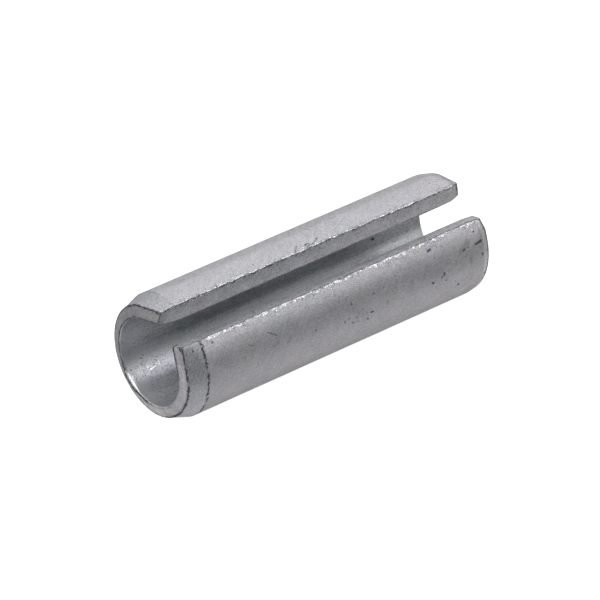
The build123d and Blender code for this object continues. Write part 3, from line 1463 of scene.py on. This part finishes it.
@dataclass(frozen=True)
class LipFinish(ZincFinish):
    """The sheared faces of the slot, streaked along the pin."""

    sides: Pair = (-1.0, 1.0)
    streak_side: Fade = Fade(-1.0, 1.0, 1.1, 0.22)
    full_lip: Fade = Fade(19.0, 26.0, 1.15, 1.06)
    flat_lip: Fade = Fade(2.0, 28.0, 0.9, 1.07)
    cool_side: Fade = Fade(-1.0, 1.0, 0.6, 0.0)
    warm_far: Fade = Fade(20.0, 28.0, 0.0, -0.8)
    outer: Stroke = Stroke(0.22, 0.3)
    root: Stroke = Stroke(0.15, 0.36, 1.0)
    root_along: Fade = Fade(24.0, 28.0, 0.25, 0.8)
    tip: Stroke = Stroke(0.2, 0.2)
    far_tip: Stroke = Stroke(0.16, 0.15, 0.8)
    far_tip_at: float = 0.12

    def local_shade(self, face: Surface) -> Value:
        """Streaks the face along the pin.

        Args:
            face: the finish's tree.

        Returns:
            What the colour is multiplied by.
        """
        streaks = face.place.noise(1.6, 3.0, 0.65, stretch=(0.08, 1.0, 5.5)) - 0.5
        full_lip = self.full_lip.at(face.along)
        flat_lip = self.flat_lip.at(face.along)
        shade = face.across.ramp(*self.sides, full_lip, flat_lip)
        return (streaks * self.streak_side.at(face.across) + 1.0) * shade

    def coolness(self, face: Surface) -> Value:
        """Makes the face of the fuller lip cooler, and both faces warmer towards the far end."""
        return self.cool_side.at(face.across) + self.warm_far.at(face.along)

    def wear_and_light(self, face: Surface) -> tuple[list[Value], list[Value]]:
        """Draws the shadowed line under the ragged edge, a painted shade line at the root, and those
        at the tips.

        Args:
            face: the finish's tree.

        Returns:
            No bright masks, and the dark ones.
        """
        along = face.along
        outer = face.line(face.depth, *self.outer)
        # Painted shade: a dark line in the corner where the face meets the bore.
        root = face.line(face.strip.wall - face.depth, *self.root) * self.root_along.at(along)
        tip = face.line(along, *self.tip)
        far_tip = face.line(face.strip.length - self.far_tip_at - along, *self.far_tip)
        return [], [outer, root, tip, far_tip]


@dataclass(frozen=True)
class EndFinish(ZincFinish):
    """The end faces, which are greyer and browner towards the eased lip."""

    side: Fade = Fade(-6.0, 8.0, 1.03, 0.61)
    flat_lip: Fade = Fade(9.0, 11.0, 1.0, 0.91)
    full_lip: tuple[Fade, Fade] = (Fade(-8.5, -3.5, 0.86, 1.0), Fade(-14.8, -13.4, 0.8, 1.0))
    arcs: float = 0.3
    middle_depth: float = 0.68
    middle: Fade = Fade(0.16, 0.42, 1.03, 0.97)
    rim: float = 0.19
    flat_rim: Fade = Fade(8.0, 10.0, 0.0, 0.13)
    eased_at: float = 0.9
    eased_reach: Pair = (2.4, 0.6)
    eased_rim: float = 0.5
    outer: Stroke = Stroke(0.24, 0.3)
    inner_width: Fade = Fade(4.5, 2.5, 0.13, 0.34)
    inner_breaks: Fade = Fade(4.5, 2.5, 0.36, 0.38)
    inner_shown: tuple[Fade, Fade] = (Fade(-4.5, -2.8, 0.22, 0.95), Fade(-12.8, -13.6, 0.0, 0.95))
    shine: tuple[Fade, Fade] = (Fade(0.28, 0.42), Fade(2.2, 0.8, 0.0, 0.85))
    shine_at: float = 2.0

    def local_shade(self, face: Surface) -> Value:
        """Darkens the face towards the eased lip and draws it in arcs.

        Args:
            face: the finish's tree.

        Returns:
            What the colour is multiplied by.
        """
        sides = (self.side, self.flat_lip, *self.full_lip)
        arcs = (face.place.noise(1.5, 4.0, 0.7, stretch=(1.0, 0.2, 3.6)) - 0.5) * self.arcs + 1.0
        middle = self.middle.at(abs(face.depth - self.middle_depth))
        return product([fade.at(face.across) for fade in sides]) * arcs * middle

    def wear_and_light(self, face: Surface) -> tuple[list[Value], list[Value]]:
        """Draws the shine of the bore's worn rim and the lines along both edges of the face.

        Args:
            face: the finish's tree.

        Returns:
            The bright mask and the dark ones.
        """
        across = face.across
        rim_at = face.strip.wall - self.rim
        off_ease = abs(across - self.eased_at)
        eased = off_ease.ramp(*self.eased_reach, rim_at, rim_at - self.eased_rim)
        past_rim = face.depth - (eased + self.flat_rim.at(across))
        outer = face.line(face.depth, *self.outer)
        width = self.inner_width.at(abs(across))
        breaks = self.inner_breaks.at(abs(across))
        shown = reduce(Value.peak, [fade.at(across) for fade in self.inner_shown])
        inner = face.line(abs(past_rim), width, breaks, shown)
        apart = abs(across - self.shine_at)
        return [self.shine[0].at(past_rim) * self.shine[1].at(apart)], [outer, inner]


def finishes(strip: RolledStrip, effects: Effects) -> dict[Face, Material]:
    """Makes the four finishes.

    Args:
        strip: the strip that they dress.
        effects: the shared node groups.

    Returns:
        A material for each kind of face.
    """
    skin = SkinFinish("zinc_skin", cool=(0.975, 1.0, 1.018))
    bore = BoreFinish(
        "zinc_bore",
        colour=(0.845, 0.87, 0.905),
        warm=(1.0, 1.0, 0.995),
        cool=(1.025, 1.0, 1.11),
        drift=0.35,
        roughness=0.36,
        tone=0.55,
        stretch=6.0,
        slant=0.15,
        relief=0.000008,
        pit_share=0.35,
    )
    lip = LipFinish(
        "sheared_lip",
        colour=(0.7, 0.713, 0.742),
        warm=(1.03, 1.0, 0.996),
        cool=(1.0, 1.0, 1.02),
        slant=0.0,
        stretch=9.0,
    )
    end = EndFinish(
        "swaged_face",
        colour=(0.749, 0.735, 0.771),
        roughness=0.5,
        tone=0.85,
        stretch=2.0,
        fineness=11.0,
    )
    chosen = {Face.SKIN: skin, Face.BORE: bore, Face.LIP_FACE: lip, Face.END_FACE: end}
    return {face: finish.material(strip, effects) for face, finish in chosen.items()}


@dataclass(frozen=True)
class PhotoCamera:
    """The camera at the photograph's viewing angle."""

    place: Triple = (-0.21758, -0.11250, 0.32068)
    right: Triple = (0.77139, -0.54264, 0.33241)
    up: Triple = (0.33911, 0.79253, 0.50685)
    lens: float = 295.77
    sensor: float = 36.0
    nearest: float = 0.01
    furthest: float = 20.0

    def build(self) -> Object:
        """Makes the camera and gives it to the scene.

        Returns:
            The camera.
        """
        data = bpy.data.cameras.new("photo_camera")
        data.lens = self.lens
        data.sensor_width = self.sensor
        data.sensor_fit = "HORIZONTAL"
        data.clip_start = self.nearest
        data.clip_end = self.furthest
        camera = bpy.data.objects.new("photo_camera", data)
        right = Vector(self.right).normalized()
        back = right.cross(Vector(self.up)).normalized()
        axes = Matrix((right, back.cross(right), back)).transposed().to_4x4()
        camera.matrix_world = Matrix.Translation(self.place) @ axes
        bpy.context.scene.collection.objects.link(camera)
        bpy.context.scene.camera = camera
        return camera


@dataclass(frozen=True)
class SoftPanel:
    """One soft light of the studio, far off. A higher focus makes it smaller."""

    toward: Triple
    strength: float
    focus: float

    def shine(self, tree: Tree, direction: NodeSocket) -> Value:
        """Gives the panel's light by direction.

        Args:
            tree: the world's tree.
            direction: the direction that is looked in.

        Returns:
            The strength that the panel adds.
        """
        toward = tuple(Vector(self.toward).normalized())
        facing = tree.vector("DOT_PRODUCT", direction, toward).peak(0.0)
        return tree.math("POWER", facing, self.focus) * self.strength


PANELS = (
    SoftPanel((0.119, 0.993, 0.008), 0.98, 6.0),
    SoftPanel((0.672, 0.741, 0.016), 0.7, 12.0),
    SoftPanel((0.54, 0.82, 0.19), 0.62, 150.0),
    SoftPanel((0.293, -0.187, 0.938), 0.38, 6.0),
    SoftPanel((-0.611, 0.252, 0.751), 3.9, 12.0),
    SoftPanel((0.406, 0.0, 0.914), 2.2, 60.0),
    SoftPanel((0.51, -0.29, 0.81), 1.0, 60.0),
    SoftPanel((0.53, -0.47, 0.71), 3.3, 300.0),
    SoftPanel((0.54, -0.19, 0.82), 1.2, 150.0),
    SoftPanel((0.5, 0.21, 0.84), 0.4, 60.0),
    SoftPanel((0.53, 0.27, 0.8), 3.2, 200.0),
    SoftPanel((0.267, -0.957, 0.11), 0.17, 3.0),
)


@dataclass(frozen=True)
class Studio:
    """A pale floor and the soft panels round it."""

    floor_height: float = -0.005375
    floor_half: float = 1.5
    floor_colour: Triple = (0.5, 0.5, 0.5)
    floor_glow: float = 0.95
    floor_mirror_glow: float = 0.2
    even_light: float = 0.02

    def build(self) -> None:
        """Makes the floor and the world."""
        bpy.context.scene.view_settings.view_transform = "Standard"
        signs = ((-1, -1), (1, -1), (1, 1), (-1, 1))
        half = self.floor_half
        mesh = bpy.data.meshes.new("floor")
        corners = [(x * half, y * half, self.floor_height) for x, y in signs]
        mesh.from_pydata(corners, [], [(0, 1, 2, 3)])
        mesh.materials.append(self.floor_material())
        floor = bpy.data.objects.new("floor", mesh)
        bpy.context.scene.collection.objects.link(floor)
        bpy.context.scene.world = self.world()

    def world(self) -> World:
        """Makes the world, which is white to the camera and shines with every panel.

        Returns:
            The world.
        """
        world = bpy.data.worlds.new("studio")
        world.use_nodes = True
        tree = Tree(world.node_tree)
        direction = tree.add("ShaderNodeTexCoord").outputs["Generated"]
        strength = reduce(Value.__add__, [panel.shine(tree, direction) for panel in PANELS])
        lit = {"Color": WHITE, "Strength": strength + self.even_light}
        light = tree.add("ShaderNodeBackground", lit).outputs["Background"]
        plain = tree.add("ShaderNodeBackground", {"Color": WHITE, "Strength": 1.0})
        seen = tree.add("ShaderNodeLightPath").outputs["Is Camera Ray"]
        mix = tree.add("ShaderNodeMixShader", {0: seen, 1: light, 2: plain.outputs["Background"]})
        tree.add("ShaderNodeOutputWorld", {"Surface": mix.outputs["Shader"]})
        return world

    def floor_material(self) -> Material:
        """Makes the floor's material, which is white to the camera and keeps a soft shadow.

        Returns:
            The material.
        """
        material = bpy.data.materials.new("floor_paper")
        material.use_nodes = True
        tree = Tree(material.node_tree)
        path = tree.add("ShaderNodeLightPath")
        paper = tree.add("ShaderNodeBsdfDiffuse", {"Color": (*self.floor_colour, 1.0)})
        seen = Value(tree, path.outputs["Is Camera Ray"]) * self.floor_glow
        mirrored = Value(tree, path.outputs["Is Glossy Ray"]) * self.floor_mirror_glow
        glow = tree.add("ShaderNodeEmission", {"Strength": seen + mirrored})
        both = {0: paper.outputs["BSDF"], 1: glow.outputs["Emission"]}
        add = tree.add("ShaderNodeAddShader", both)
        tree.add("ShaderNodeOutputMaterial", {"Surface": add.outputs["Shader"]})
        return material


def main() -> None:
    """Builds the pin, its finishes and the studio, in order."""
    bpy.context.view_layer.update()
    strip = RolledStrip()
    strip_object = strip.build()
    strip.dress(strip_object, finishes(strip, Effects()))
    log.info("rolled strip: %d faces", len(strip_object.data.polygons))
    Studio().build()
    PhotoCamera().build()
    bpy.context.view_layer.update()


if __name__ == "__main__":
    main()
